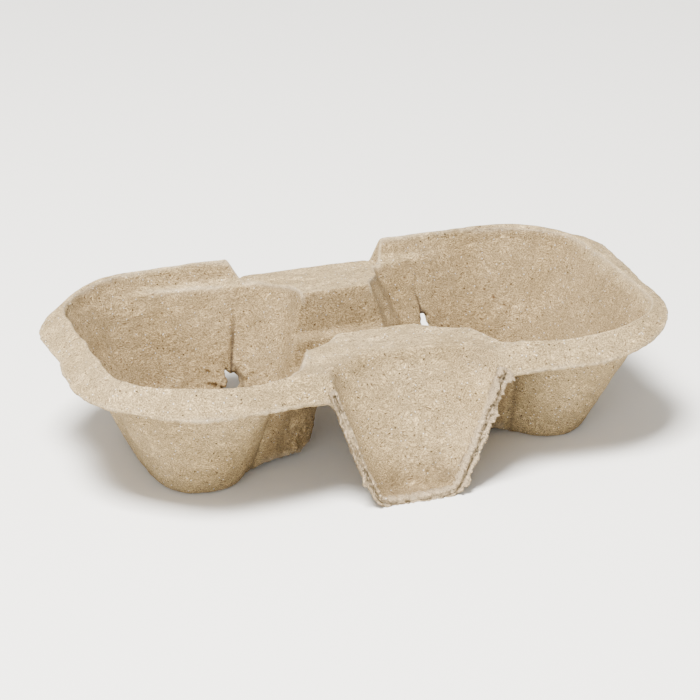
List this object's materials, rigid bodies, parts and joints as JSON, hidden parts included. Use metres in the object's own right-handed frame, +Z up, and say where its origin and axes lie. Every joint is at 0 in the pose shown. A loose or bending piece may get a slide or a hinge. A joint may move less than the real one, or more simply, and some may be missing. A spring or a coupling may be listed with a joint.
{
  "type": "moulded pulp cup carrier",
  "caption": "Moulded pulp carrier for takeaway cups: tapered pockets side by side, sloping rim, and the torn half of a middle post.",
  "frame": {"origin": "on the ground, under the middle of the carrier's outer box", "axes": "+X along the row of pockets, +Y away from the torn post, +Z up"},
  "size_m": [0.2146, 0.1226, 0.0511],
  "materials": {
    "pulp": "matte, fibrous moulded paper pulp with small dark and light specks"
  },
  "bodies": {
    "root": {"cup_carrier": "pulp"}
  },
  "joints": []
}
